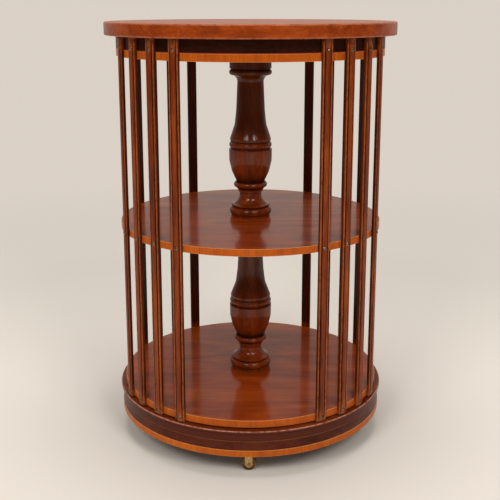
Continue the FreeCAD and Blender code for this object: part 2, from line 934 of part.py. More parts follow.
def slat(label, turn):
    """Strip with a bead along each edge, a quirk and a low crown between."""
    body = new_body(label, slat_foot, turn)
    half = cell("slat_width") / 2
    bead_foot = half - cell("slat_bead")
    crown_half = bead_foot - cell("slat_quirk")
    back = -board_radius
    face = -slat_face_radius
    quirk = face + cell("slat_quirk_depth")
    crown_edge = face + cell("slat_crown_rise")
    bead = bow(cell("slat_bead") / 2, cell("slat_bead_rise"))
    sketch = new_sketch(body)
    outline(sketch, [
        line_to(half, back),
        line_to(-half, back),
        line_to(-half, quirk),
        arc_to(-bead_foot, quirk, bead),
        line_to(-crown_half, quirk),
        line_to(-crown_half, crown_edge),
        arc_to(crown_half, crown_edge, bow(crown_half, cell("slat_crown_rise"))),
        line_to(crown_half, quirk),
        line_to(bead_foot, quirk),
        arc_to(half, quirk, bead),
    ])
    pad(body, sketch, top_bottom - slat_foot)
    holes = new_sketch(body, "XZ_Plane", (0, 0, slat_face_radius))
    for height in screw_heights:
        hole = cell("slat_screw_radius") + cell("hole_clearance")
        circle(holes, hole, 0, height - slat_foot)
    pocket(body, holes, cell("slat_thickness"))


for half in range(HALVES):
    for index, angle in enumerate(slat_angles, start=half * len(slat_angles) + 1):
        slat(f"slat_{index:02d}", FULL_TURN / HALVES * half + angle)

slat_screw_rows = screw_group("slat_screws")
for height in screw_heights:
    slat_screws(slat_screw_rows, height)

top_screw_length = board_thickness + cell("frieze_height") + cell("top_screw_grip")
upright_screws(screw_group("top_screws"), "top", top_screw_places[:1], TOP_SCREWS,
               upper_bottom, top_screw_length)


# Casters: a screwed plate with a riveted swivel pin, a fork and a wheel

axle_radius = cell("axle_radius")
wheel_bore = axle_radius + cell("axle_clearance")


def caster_plate(label, turn):
    """Round plate with the swivel pin, whose end is riveted under the fork."""
    body = new_body(label, 0, turn)
    edge, pin = cell("plate_round"), cell("swivel_pin_radius")
    rivet = slot_width / 2 - cell("rivet_setback")
    sketch = new_sketch(body, "XZ_Plane", (0, 0, caster_circle))
    outline(sketch, [
        line_to(0, rivet_foot),
        line_to(rivet, rivet_foot),
        line_to(rivet, rivet_top),
        line_to(pin, rivet_top),
        line_to(pin, plate_bottom),
        line_to(plate_radius - edge, plate_bottom),
        arc_to(plate_radius, plate_bottom + edge, edge),
        line_to(plate_radius, drum_bottom),
        line_to(0, drum_bottom),
    ])
    turning(body, sketch, "V_Axis")
    hole = cell("plate_screw_radius") + cell("hole_clearance")
    upright_holes(body, hole, plate_screw_places, drum_bottom, cell("plate_thickness"))


def caster_fork(label, turn):
    """Crown that turns on the pin, with two cheeks rounded about the axle."""
    body = new_body(label, 0, turn)
    crown = new_sketch(body, shift=(0, 0, crown_bottom))
    circle(crown, cell("crown_radius"), 0, -caster_circle)
    pad(body, crown, cell("crown_thickness"))
    trail, half = cell("caster_trail"), cell("cheek_width") / 2
    cheek_top = crown_bottom + cell("crown_thickness") / 2
    cheeks = new_sketch(body, "XZ_Plane", (0, 0, caster_circle))
    outline(cheeks, [
        line_to(-trail - half, wheel_radius),
        arc_to(-trail, wheel_radius - half, half),
        arc_to(half - trail, wheel_radius, half),
        line_to(half - trail, cheek_top),
        line_to(-trail - half, cheek_top),
    ])
    pad(body, cheeks, fork_width, symmetric=True)
    slot = new_sketch(body, "XZ_Plane", (0, 0, caster_circle))
    reach = cell("cheek_width") + trail
    outline(slot, [
        line_to(-reach, 0),
        line_to(reach, 0),
        line_to(reach, crown_bottom),
        line_to(-reach, crown_bottom),
    ])
    pocket(body, slot, slot_width, symmetric=True)
    axle_hole = new_sketch(body, "XZ_Plane", (0, 0, caster_circle))
    circle(axle_hole, axle_radius, -trail, wheel_radius)
    pocket(body, axle_hole, fork_width, symmetric=True)
    bore = cell("swivel_pin_radius") + cell("swivel_clearance")
    upright_holes(body, bore, [(0, -caster_circle)], crown_top, cell("crown_thickness"))


def axle_sketch(body):
    """A sketch through the axle, which lies along the sketch's own X axis."""
    shift = (-caster_circle, wheel_radius, -cell("caster_trail"))
    return new_sketch(body, "YZ_Plane", shift)


def caster_axle(label, turn):
    """Pin pressed through both cheeks, with its ends domed."""
    body = new_body(label, 0, turn)
    sketch = axle_sketch(body)
    half, rise = fork_width / 2, cell("axle_head_rise")
    head = axle_radius + cell("axle_head_lip")
    outline(sketch, [
        line_to(half + rise, 0),
        arc_to(half, head, bow(head, rise)),
        line_to(half, axle_radius),
        line_to(-half, axle_radius),
        line_to(-half, head),
        arc_to(-half - rise, 0, bow(head, rise)),
    ])
    turning(body, sketch, "H_Axis")


def caster_wheel(label, turn):
    """Wheel with a rounded tread, recessed between its hub and its rim."""
    body = new_body(label, 0, turn)
    sketch = axle_sketch(body)
    half, edge = cell("wheel_width") / 2, cell("wheel_round")
    hub = wheel_bore + cell("wheel_hub_wall")
    rim = wheel_radius - cell("wheel_rim_wall")
    web = half - cell("wheel_recess")
    outline(sketch, [
        line_to(half, wheel_bore),
        line_to(half, hub),
        line_to(web, hub),
        line_to(web, rim),
        line_to(half, rim),
        line_to(half, wheel_radius - edge),
        arc_to(half - edge, wheel_radius, edge),
        line_to(edge - half, wheel_radius),
        arc_to(-half, wheel_radius - edge, edge),
        line_to(-half, rim),
        line_to(-web, rim),
        line_to(-web, hub),
        line_to(-half, hub),
        line_to(-half, wheel_bore),
    ])
    turning(body, sketch, "H_Axis")


plate_screw_places = [plate_screw_place(index) for index in range(PLATE_SCREWS)]

for index, side in enumerate(("front", "right", "back", "left")):
    turn = caster_angle * index
    caster_plate(f"caster_plate_{side}", turn)
    caster_fork(f"caster_fork_{side}", turn)
    caster_axle(f"caster_axle_{side}", turn)
    caster_wheel(f"caster_wheel_{side}", turn)

upright_screws(underside_screws, "plate", plate_screw_places, CASTERS, plate_bottom,
               cell("plate_screw_length"))


# Checks, then one file for each piece

doc.recompute()
for item in doc.Objects:
    if "Invalid" in item.State or "Error" in item.State:
        raise RuntimeError(f"{item.Label}: {item.State}")
for body in parts:
    if body.Shape.isNull() or not body.Shape.isValid():
        raise RuntimeError(f"{body.Label}: no valid shape")

os.makedirs("parts", exist_ok=True)
for body in parts:
    body.Shape.exportStep(f"parts/{body.Label}.step")
    print(f"{body.Label}: {len(body.Shape.Solids)} solids, {body.Shape.Volume:.0f} mm3")
print(len(parts), "pieces")
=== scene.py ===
import math

import bmesh
import bpy
import numpy as np
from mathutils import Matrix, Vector


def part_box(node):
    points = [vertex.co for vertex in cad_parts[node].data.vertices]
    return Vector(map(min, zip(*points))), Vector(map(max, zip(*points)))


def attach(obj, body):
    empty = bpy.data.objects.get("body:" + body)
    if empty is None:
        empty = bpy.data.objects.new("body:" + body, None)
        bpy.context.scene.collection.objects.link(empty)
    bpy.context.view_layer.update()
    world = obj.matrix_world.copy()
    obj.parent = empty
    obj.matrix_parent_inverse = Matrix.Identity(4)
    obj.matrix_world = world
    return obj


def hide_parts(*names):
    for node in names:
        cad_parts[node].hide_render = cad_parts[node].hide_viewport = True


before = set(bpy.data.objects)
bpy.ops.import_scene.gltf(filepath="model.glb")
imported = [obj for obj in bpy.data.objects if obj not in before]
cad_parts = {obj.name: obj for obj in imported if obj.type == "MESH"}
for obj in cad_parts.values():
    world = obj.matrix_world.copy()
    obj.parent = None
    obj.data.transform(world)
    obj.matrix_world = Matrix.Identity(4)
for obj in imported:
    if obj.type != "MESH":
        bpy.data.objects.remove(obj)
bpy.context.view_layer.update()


# Rails. Two sawn oak rails cross under the plinth, half-lapped where they meet,
# and carry the spindle and the casters. The oak is left bare, with open pores.

class Wire:
    """A socket's value in a finish; its operators add Math or Vector Math nodes."""

    def __init__(self, finish, socket):
        self.finish = finish
        self.socket = socket

    def worked(self, operation, *terms):
        wires = [term.socket.type for term in terms if isinstance(term, Wire)]
        flat = all(kind == "VALUE" for kind in wires)
        flat = flat and not any(isinstance(term, tuple) for term in terms)
        if flat:
            kind = "ShaderNodeMath"
        else:
            kind = "ShaderNodeVectorMath"
            terms = [(term,) * 3 if isinstance(term, (int, float)) else term for term in terms]
        return self.finish.node(kind, {"operation": operation}, dict(enumerate(terms)))

    def __add__(self, other):
        return self.worked("ADD", self, other)

    def __radd__(self, other):
        return self.worked("ADD", other, self)

    def __sub__(self, other):
        return self.worked("SUBTRACT", self, other)

    def __rsub__(self, other):
        return self.worked("SUBTRACT", other, self)

    def __mul__(self, other):
        return self.worked("MULTIPLY", self, other)

    def __rmul__(self, other):
        return self.worked("MULTIPLY", other, self)

    def floor(self):
        return self.worked("FLOOR", self)

    def fraction(self):
        return self.worked("FRACT", self)

    def away(self):
        return self.worked("ABSOLUTE", self)

    def rising(self, low, high):
        """0 below low, 1 above high, and a smooth step between them."""
        return self.finish.node("ShaderNodeMapRange", {"interpolation_type": "SMOOTHSTEP"},
                                {"Value": self, "From Min": low, "From Max": high})

    def part(self, name):
        """Its x, y or z."""
        return self.finish.node("ShaderNodeSeparateXYZ", {}, {"Vector": self}, name)


class Finish:
    """A material being mixed: one method adds any node to it."""

    def __init__(self, name, **shader):
        self.material = bpy.data.materials.new(name)
        self.material.use_nodes = True
        self.tree = self.material.node_tree
        self.shader = self.tree.nodes["Principled BSDF"]
        for socket, value in shader.items():
            self.set(self.shader, socket.replace("_", " "), value)

    def set(self, node, key, value):
        """Gives one socket of a node, by number, name or identifier, its link or value."""
        if isinstance(key, int):
            socket = node.inputs[key]
        else:
            socket = next(item for item in node.inputs
                          if item.identifier == key or (item.name == key and item.enabled))
        if isinstance(value, Wire):
            self.tree.links.new(value.socket, socket)
        elif socket.type == "RGBA" and len(value) == 3:
            socket.default_value = (*value, 1)
        else:
            socket.default_value = value

    def node(self, kind, settings, sockets, out=0):
        """Any node: its settings go in first, then the values and links of its sockets."""
        node = self.tree.nodes.new(kind)
        for name, value in settings.items():
            if name == "stops":
                ramp = node.color_ramp
                while len(ramp.elements) < len(value):
                    ramp.elements.new(1)
                for element, (place, colour) in zip(ramp.elements, value):
                    element.position = place
                    element.color = (*colour, 1)
            else:
                setattr(node, name, value)
        for key, value in sockets.items():
            self.set(node, key, value)
        shown = [item for item in node.outputs if item.enabled]
        return Wire(self, shown[out] if isinstance(out, int) else node.outputs[out])

    def place(self):
        """Where a point is on the object, in metres."""
        return self.node("ShaderNodeTexCoord", {}, {}, "Object")

    def noise(self, where, scale, detail=2.0, rough=0.5, twist=0.0):
        """Soft random value about 0.5, with this many features to a metre."""
        return self.node("ShaderNodeTexNoise", {}, {
            "Vector": where, "Scale": scale, "Detail": detail, "Roughness": rough,
            "Distortion": twist})

    def ramp(self, value, *stops):
        """Colours strung along 0 to 1."""
        return self.node("ShaderNodeValToRGB", {"stops": stops}, {"Fac": value})

    def mix(self, first, second, factor, way="MIX"):
        """Colour between two colours, or one laid on the other in another way."""
        return self.node("ShaderNodeMix", {"data_type": "RGBA", "blend_type": way}, {
            "A_Color": first, "B_Color": second, "Factor_Float": factor})

    def raised(self, height, strength, depth):
        """Lets a height stand out by a depth in metres, as a bump."""
        bump = self.node("ShaderNodeBump", {}, {
            "Height": height, "Strength": strength, "Distance": depth})
        self.set(self.shader, "Normal", bump)

    def edge_wear_and_painted_light(self):
        """The mesh's edge value: 1 on arrises, worn and partly a painted highlight, 0 on faces,
        below 0 where painted shade lies.
        """
        return self.node("ShaderNodeAttribute", {"attribute_name": "arris"}, {}, "Fac")


def bare_oak():
    """Noise drawn out along the grain, with dark open pores between pale flecks."""
    oak = Finish("bare_oak", Roughness=0.7, Specular_IOR_Level=0.3)
    where = oak.place()
    grain = oak.noise(where * (0.12, 1.0, 1.0), 70, 5, 0.6, 0.6)
    pores = oak.noise(where * (0.05, 1.0, 1.0), 900, 2).rising(0.6, 0.7)
    colour = oak.ramp(grain, (0.3, (0.20, 0.12, 0.06)), (0.7, (0.42, 0.29, 0.16)))
    oak.set(oak.shader, "Base Color", oak.mix(colour, (0.09, 0.05, 0.03), pores * 0.7))
    oak.set(oak.shader, "Roughness", 0.62 + grain * 0.2)
    oak.raised(grain - pores, 0.4, 0.0004)
    return oak.material


def coated(node, material):
    """A CAD node that keeps its shape and takes this finish."""
    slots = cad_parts[node].data.materials
    slots.clear()
    slots.append(material)


OAK = bare_oak()
coated("base_rail_lower", OAK)
coated("base_rail_upper", OAK)


# Spindle, its nut and the steel screws. The spindle is turned from steel bar and its
# thread takes a hexagon nut. The screws of the casters, flange and top are plain steel.

def turned_steel():
    """Fine rings left by the lathe, seen as noise drawn out across the height."""
    steel = Finish("turned_steel", Metallic=1.0)
    where = steel.place()
    rings = steel.noise(where * (0.04, 0.04, 1.0), 2400, 2)
    stain = steel.noise(where, 90, 4, 0.6)
    colour = steel.ramp(stain, (0.3, (0.22, 0.21, 0.20)), (0.75, (0.46, 0.45, 0.43)))
    steel.set(steel.shader, "Base Color", colour)
    steel.set(steel.shader, "Roughness", 0.25 + rings * 0.15 + stain * 0.15)
    steel.raised(rings, 0.25, 0.00005)
    return steel.material


STEEL = turned_steel()
for node in ("spindle", "spindle_nut", "underside_screws", "top_screws"):
    coated(node, STEEL)


# Spindle flange. It is cast in iron with a hub, blackened, and screwed up against
# the rails. The sand of its mould still shows on it.

def cast_iron():
    """Black paint with the grain of a sand mould and a little rust in its hollows."""
    iron = Finish("cast_iron", Metallic=0.6)
    where = iron.place()
    sand = iron.noise(where, 700, 4, 0.65)
    rust = iron.noise(where, 60, 5, 0.7).rising(0.55, 0.7)
    colour = iron.mix((0.05, 0.047, 0.044), (0.12, 0.045, 0.02), rust * 0.6)
    iron.set(iron.shader, "Base Color", colour)
    iron.set(iron.shader, "Roughness", 0.5 + sand * 0.3)
    iron.raised(sand, 0.5, 0.0003)
    return iron.material


coated("spindle_flange", cast_iron())


# Washer and bushes. The case turns on a brass washer and is held upright by two
# brass bushes, turned with a flange and pressed into the boards.

def aged_brass(name, bright, dull):
    """Brass with brown patina in patches, rubbed bright again on its arrises."""
    brass = Finish(name, Metallic=1.0)
    where = brass.place()
    patina = brass.noise(where, 240, 5, 0.62, 0.4)
    specks = brass.noise(where, 2600, 2).rising(0.58, 0.72)
    rubbed_and_sheen = brass.edge_wear_and_painted_light() * 0.6
    tarnish = patina.rising(0.35, 0.68) * (1.0 - rubbed_and_sheen)
    colour = brass.mix(bright, dull, tarnish)
    colour = brass.mix(colour, (0.05, 0.032, 0.016), specks * 0.5)
    brass.set(brass.shader, "Base Color", colour)
    brass.set(brass.shader, "Roughness", 0.24 + tarnish * 0.22 + specks * 0.15)
    brass.raised(patina, 0.15, 0.0001)
    return brass.material


BEARING_BRASS = aged_brass("bearing_brass", (0.62, 0.44, 0.20), (0.30, 0.19, 0.08))
for node in ("thrust_washer", "lower_bush", "top_bush"):
    coated(node, BEARING_BRASS)


# Drum of the plinth. It is bent up in mahogany, rebated for the crossband at its
# foot and the string line at its head, stained dark and French-polished.

MM = 0.001
DRUM_WALL = 18 * MM
BAND_HEIGHT, BAND_DEPTH, BAND_PROUD = 11 * MM, 1.8 * MM, 0.8 * MM
STRING_HEIGHT, STRING_DEPTH = 1.4 * MM, 1.2 * MM


def run(start, end, rise, trim):
    """Points from start to end. A rise bends the run into the arc whose middle stands
    that far to the right of the chord: with half angle a and radius r, a point lies
    r sin(a t) along the chord and r (cos(a t) - cos a) off it, t from -1 to 1. The
    trim is cut from both ends, and close pairs of points there keep the faces flat."""
    start, end = np.array(start), np.array(end)
    chord = np.linalg.norm(end - start)
    along = (end - start) / chord
    right = np.array([along[1], -along[0]])
    cut = min(2 * trim / chord, 0.7)
    half = 2 * math.atan(2 * abs(rise) / chord)
    count = max(2, math.ceil(half / 0.09))
    reach = 1 - (2 * cut if cut < 0.3 else cut)
    inner = np.linspace(-reach, reach, count)
    t = np.unique(np.concatenate([[cut - 1], inner, [1 - cut]]).round(6))
    if not half:
        out, off = t * chord / 2, 0 * t
    else:
        radius = chord / 2 / math.sin(half)
        out = radius * np.sin(half * t)
        off = radius * (np.cos(half * t) - math.cos(half)) * np.sign(rise)
    return (start + end) / 2 + out[:, None] * along + off[:, None] * right


def contour(corners, ease, closed=True):
    """Outline through (x, y, rise) corners, each rounded by the curve that leaves one
    run, heads for the corner and meets the next: (1-s)^2 a + 2s(1-s) c + s^2 b. Also
    gives 1 for the points on a rounded corner and 0 for the rest."""
    places = [corner[:2] for corner in corners]
    runs = [run(places[i - 1], places[i], corners[i][2], ease)
            for i in range(0 if closed else 1, len(corners))]
    if closed:
        runs = runs[1:] + runs[:1]
    s = np.linspace(0, 1, 6)[1:-1, None]
    points, edges = [], []
    for index, stretch in enumerate(runs):
        points.append(stretch)
        edges.append(np.zeros(len(stretch)))
        if closed or index + 1 < len(runs):
            following = runs[(index + 1) % len(runs)]
            corner = np.array(places[(index + 1) % len(places)])
            bend = (1 - s) ** 2 * stretch[-1] + 2 * s * (1 - s) * corner + s ** 2 * following[0]
            points.append(bend)
            edges.append(np.ones(len(bend)))
    points, edges = np.concatenate(points), np.concatenate(edges)
    if not closed:
        points = np.concatenate([[places[0]], points, [places[-1]]])
        edges = np.concatenate([[0], edges, [0]])
    return points, edges


def turned(profile, steps=256):
    """Shell of a turned piece: a profile point at radius r and height z goes round to
    (r cos a, r sin a, z) for a from 0 to a full turn."""
    points, edges = profile
    angle = np.arange(steps) * (2 * math.pi / steps)
    radius, height = points[:, :1], points[:, 1:]
    grid = np.stack([radius * np.cos(angle), radius * np.sin(angle), height + 0 * angle], axis=-1)
    return grid, np.repeat(edges[:, None], steps, axis=1)


SHARPEST = math.radians(50)


def piece(name, shells, finish, body, slot, *nodes):
    """One mesh over shells of grid points, closed both ways round, with doubles merged
    and faces turned out. It rides on a body and stands for these CAD nodes."""
    points, edges, faces, first = [], [], [], 0
    for grid, edge in shells:
        rows, columns = grid.shape[:2]
        index = first + np.arange(rows * columns).reshape(rows, columns)
        index = np.vstack([index, index[:1]])
        index = np.hstack([index, index[:, :1]])
        corners = (index[:-1, :-1], index[1:, :-1], index[1:, 1:], index[:-1, 1:])
        faces.append(np.stack(corners, axis=-1).reshape(-1, 4))
        points.append(grid.reshape(-1, 3))
        edges.append(edge.ravel())
        first += rows * columns
    points, faces = np.concatenate(points), np.concatenate(faces)
    mesh = bpy.data.meshes.new(name)
    mesh.vertices.add(len(points))
    mesh.vertices.foreach_set("co", points.ravel().astype(np.float32))
    mesh.loops.add(faces.size)
    mesh.loops.foreach_set("vertex_index", faces.ravel().astype(np.int32))
    mesh.polygons.add(len(faces))
    mesh.polygons.foreach_set("loop_start", np.arange(len(faces), dtype=np.int32) * 4)
    mesh.update(calc_edges=True)
    arris = mesh.attributes.new("arris", "FLOAT", "POINT")
    arris.data.foreach_set("value", np.concatenate(edges).astype(np.float32))
    joined = bmesh.new()
    joined.from_mesh(mesh)
    bmesh.ops.remove_doubles(joined, verts=joined.verts, dist=1e-6)
    bmesh.ops.dissolve_degenerate(joined, edges=joined.edges, dist=1e-7)
    bmesh.ops.recalc_face_normals(joined, faces=joined.faces)
    joined.to_mesh(mesh)
    joined.free()
    mesh.shade_smooth()
    mesh.set_sharp_from_angle(angle=SHARPEST)
    mesh.materials.append(finish)
    made = bpy.data.objects.new(name, mesh)
    bpy.context.scene.collection.objects.link(made)
    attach(made, body)
    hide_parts(*nodes)


def mahogany(name, grain, tones, cloud=0.35, stripe=0.3, polish=0.3, mottle=22):
    """French-polished mahogany. Ribbons, streaks and short pores are noises drawn out
    along the grain, clouds a broad noise. Arrises are lightened, partly as wear and
    partly as a painted highlight, and hollows, where the edge value is below 0, are
    darkened with painted shade. A thin clear coat lies over all of it."""
    wood = Finish(name, Roughness=0.4, Specular_IOR_Level=0.06, Coat_Weight=polish,
                  Coat_Roughness=0.13, Coat_IOR=1.45)
    where = wood.place()
    ribbon = wood.noise(where * grain, 55, 4, 0.55, 0.5)
    streak = wood.noise(where * grain, 330, 3, 0.6, 0.3)
    pores = wood.noise(where * tuple(k * k for k in grain), 2100, 1).rising(0.60, 0.74)
    clouds = wood.noise(where * tuple(k ** 0.5 for k in grain), mottle, 5, 0.6, 0.9)
    tone = ribbon * stripe + clouds * cloud + streak * (1 - stripe - cloud)
    colour = wood.ramp(tone, (0.36, tones[0]), (0.5, tones[1]), (0.64, tones[2]))
    colour = wood.mix(colour, tones[0], pores * 0.5)
    # Arrises lighten partly as wear and partly as a painted highlight; hollows below 0 darken
    # with painted shade.
    worn_and_sheen = wood.edge_wear_and_painted_light().rising(0.0, 1.0) * wood.noise(where, 120, 3).rising(0.25, 0.6)
    painted_hollow_shade = (0.0 - wood.edge_wear_and_painted_light()).rising(0.0, 1.0)
    colour = wood.mix(colour, tones[3], worn_and_sheen * 0.6)
    wood.colour = wood.mix(colour, (0.012, 0.003, 0.001), painted_hollow_shade * 0.85)
    wood.set(wood.shader, "Base Color", wood.colour)
    wood.set(wood.shader, "Roughness", 0.36 + streak * 0.12 + pores * 0.2)
    handled = wood.noise(where, 38, 4, 0.65).rising(0.62, 0.8)
    coat = polish * (1.0 - handled * 0.25 - worn_and_sheen * 0.4) * (1.0 - painted_hollow_shade)
    wood.set(wood.shader, "Coat Weight", coat)
    wood.raised(streak - pores, 0.12, 0.0002)
    return wood


UPRIGHT, FLAT = (1.0, 1.0, 0.1), (0.1, 1.0, 1.0)
DARK = ((0.034, 0.005, 0.002), (0.078, 0.012, 0.003), (0.125, 0.022, 0.005), (0.26, 0.10, 0.05))
DRUM_WOOD = mahogany("drum_mahogany", (0.3, 0.3, 1.0), DARK, polish=0.2)
drum_low, drum_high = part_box("plinth_drum")
DRUM_RADIUS = drum_high.x
foot, head = drum_low.z, drum_high.z
band_wall, string_wall = DRUM_RADIUS - BAND_DEPTH, DRUM_RADIUS - STRING_DEPTH
drum_bore = DRUM_RADIUS - DRUM_WALL
piece("plinth_drum_turned", [turned(contour([
    (drum_bore, foot, 0), (band_wall, foot, 0), (band_wall, foot + BAND_HEIGHT, 0),
    (DRUM_RADIUS, foot + BAND_HEIGHT, 0), (DRUM_RADIUS, head - STRING_HEIGHT, 0),
    (string_wall, head - STRING_HEIGHT, 0), (string_wall, head, 0), (drum_bore, head, 0),
], 0.15 * MM))], DRUM_WOOD.material, "base", "dark_mahogany", "plinth_drum")


# Crossband and string line of the plinth, both of satinwood. The crossband is glued in
# short lengths with the grain upright into the rebate at the drum's foot, and stands a
# little proud with eased edges. The string is a thin line let in flush at its head.

def satinwood(name, tones, joints, pale_edge_wear_and_sheen):
    """Crossbanding: fine upright stripes, as noise drawn out along the height, in
    lengths of slightly different tone with a dark glue line between two of them."""
    wood = Finish(name, Roughness=0.35, Specular_IOR_Level=0.06, Coat_Weight=0.2,
                  Coat_Roughness=0.14, Coat_IOR=1.45)
    where = wood.place()
    x, y = where.part("X"), where.part("Y")
    turn = x.worked("ARCTAN2", y, x) * (joints / (2 * math.pi)) + 0.37
    length = wood.node("ShaderNodeTexWhiteNoise", {"noise_dimensions": "1D"}, {"W": turn.floor()},
                       "Value")
    glue = 1.0 - ((turn.fraction() - 0.5).away() - 0.5).away().rising(0.0, 0.0022 * joints / 12)
    stripe = wood.noise(where * (1.0, 1.0, 0.06), 620, 3, 0.6)
    broad = wood.noise(where * (1.0, 1.0, 0.2), 90, 3, 0.55)
    tone = stripe * 0.45 + broad * 0.35 + length * 0.2
    colour = wood.ramp(tone, (0.3, tones[0]), (0.5, tones[1]), (0.7, tones[2]))
    colour = wood.mix(colour, (0.06, 0.015, 0.005), glue * 0.75)
    # Arrises lightened toward the pale edge colour, partly as wear and partly as a painted
    # highlight.
    colour = wood.mix(colour, pale_edge_wear_and_sheen, wood.edge_wear_and_painted_light() * 0.5)
    wood.set(wood.shader, "Base Color", colour)
    wood.set(wood.shader, "Roughness", 0.3 + stripe * 0.12)
    wood.raised(stripe - glue, 0.12, 0.00015)
    return wood.material


CROSSBAND = satinwood("crossband_satinwood", (
    (0.34, 0.056, 0.003), (0.48, 0.100, 0.006), (0.60, 0.155, 0.012)), 14, (0.66, 0.34, 0.10))
STRING = satinwood("string_satinwood", (
    (0.11, 0.030, 0.010), (0.16, 0.046, 0.016), (0.22, 0.070, 0.025)), 9, (0.26, 0.10, 0.05))


def hoop(name, wall, ease, finish, body, slot, *nodes):
    """A turned ring over a CAD ring, as high and wide as it, with its corners eased."""
    low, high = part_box(nodes[0])
    inner, outer = high.x - wall, high.x
    ring = contour([(inner, low.z, 0), (outer, low.z, 0), (outer, high.z, 0),
                    (inner, high.z, 0)], ease)
    piece(name, [turned(ring)], finish, body, slot, *nodes)


hoop("plinth_crossband_glued", BAND_DEPTH + BAND_PROUD, 0.8 * MM, CROSSBAND, "base",
     "satinwood", "plinth_crossband")
hoop("plinth_string_glued", STRING_DEPTH, 0.1 * MM, STRING, "base", "satinwood", "plinth_string")


# Plinth board. It closes the drum and is flush with it, but for a thin rounded lip at
# its top. Its edge is stained like the drum, and its face is polished a redder brown.

LEDGE_WOOD = mahogany("plinth_mahogany", FLAT, (
    (0.06, 0.008, 0.001), (0.15, 0.022, 0.004), (0.25, 0.045, 0.008), (0.60, 0.34, 0.25)),
    polish=0.25)
SPINDLE_HOLE, LIP = 8.05 * MM, 5 * MM
low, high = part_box("plinth_board")
stain = LEDGE_WOOD.place().part("Z").rising(high.z - 3.2 * MM, high.z - 2.2 * MM)
LEDGE_WOOD.set(LEDGE_WOOD.shader, "Base Color", LEDGE_WOOD.mix(DARK[1], LEDGE_WOOD.colour, stain))
lip = contour([
    (SPINDLE_HOLE, low.z, 0), (DRUM_RADIUS, low.z, 0), (DRUM_RADIUS, high.z - LIP, 0),
    (high.x, high.z - LIP, 0), (high.x, high.z, 0), (SPINDLE_HOLE, high.z, 0)], 1.6 * MM)
piece("plinth_board_turned", [turned(lip)], LEDGE_WOOD.material, "base", "mahogany",
      "plinth_board")


# Casters. Four brass casters stand under the drum: a screwed plate with a riveted
# swivel pin, a cast fork with two cheeks, a turned wheel and a domed axle pin.

CASTER_BRASS = aged_brass("caster_brass", (0.66, 0.46, 0.21), (0.27, 0.165, 0.06))
# The wheel's brass is darker than the fork's as painted shade, for its recess between the cheeks.
SHADED_WHEEL_BRASS = aged_brass("wheel_brass_painted_shade", (0.26, 0.155, 0.06), (0.085, 0.045, 0.018))
CASTER_CIRCLE, TRAIL = 206 * MM, 3 * MM
SIDES = ("front", "right", "back", "left")


def placed(shell, side, lie=False, shift=(0, 0, 0)):
    """A caster's shell moved to its place: laid with its axis along Y where it turns on
    the axle, shifted, then turned a quarter for each side after the front."""
    grid, edges = shell
    x, y, z = np.moveaxis(grid, -1, 0)
    if lie:
        x, y, z = x, z, y
    x, y, z = x + shift[0], y + shift[1], z + shift[2]
    a = SIDES.index(side) * math.pi / 2
    return np.stack([x * math.cos(a) - y * math.sin(a), x * math.sin(a) + y * math.cos(a), z],
                    axis=-1), edges


def carried(section, stations, pole, ease):
    """Shell of a section (x, y) carried up through heights z. It is drawn in by the
    easing at both ends, and closed there by faces that meet at the pole."""
    points, edges = section
    points = points - pole
    reach = np.abs(points).max(axis=0)
    drawn = 1 - ease / reach
    scale = np.array([(0, 0), drawn] + [(1, 1)] * len(stations) + [drawn, (0, 0)])
    low, high = stations[0] - ease, stations[-1] + ease
    height = np.array([low, low, *stations, high, high])
    flat = scale[:, None, :] * points[None] + pole
    height = np.repeat(height[:, None], len(points), axis=1)
    worn_and_sheen = np.repeat(edges[None], len(height), axis=0)
    worn_and_sheen[1:3] = 1
    worn_and_sheen[-3:-1] = 1
    return np.dstack([flat, height]), worn_and_sheen


wheel_low, wheel_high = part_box("caster_wheel_front")
WHEEL = (wheel_high.z - wheel_low.z) / 2
half, web = 4.5 * MM, 3.2 * MM
wheel_bore, hub, tread_rise = 2.05 * MM, 4.65 * MM, 0.4 * MM
rim, tread = WHEEL - 2.6 * MM, WHEEL - tread_rise
wheel_profile = contour([
    (wheel_bore, -half, 0), (hub, -half, 0), (hub, -web, 0), (rim, -web, 0), (rim, -half, 0),
    (tread, -half, 0), (tread, half, tread_rise), (rim, half, 0), (rim, web, 0),
    (hub, web, 0), (hub, half, 0), (wheel_bore, half, 0)], 0.5 * MM)
fork_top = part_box("caster_fork_front")[1].z
crown_foot, pin_bore, crown_radius = fork_top - 4 * MM, 3.05 * MM, 9.5 * MM
crown = turned(contour([(pin_bore, crown_foot, 0), (crown_radius, crown_foot, 0),
                        (crown_radius, fork_top, 0), (pin_bore, fork_top, 0)], 0.9 * MM), 96)
cheek_half = 6.3 * MM
cheek = contour([
    (-TRAIL - cheek_half, WHEEL, 0), (-TRAIL, WHEEL - cheek_half, 1.845 * MM),
    (cheek_half - TRAIL, WHEEL, 1.845 * MM), (cheek_half - TRAIL, crown_foot + 2 * MM, 0),
    (-TRAIL - cheek_half, crown_foot + 2 * MM, 0)], 0.4 * MM)
cheek_ease, cheek_thickness = 0.45 * MM, 2.2 * MM
cheek_shell = carried(cheek, np.linspace(cheek_ease, cheek_thickness - cheek_ease, 4),
                      (-TRAIL, WHEEL + 2 * MM), cheek_ease)
cheek_feet = (-7.1 * MM, 4.9 * MM)

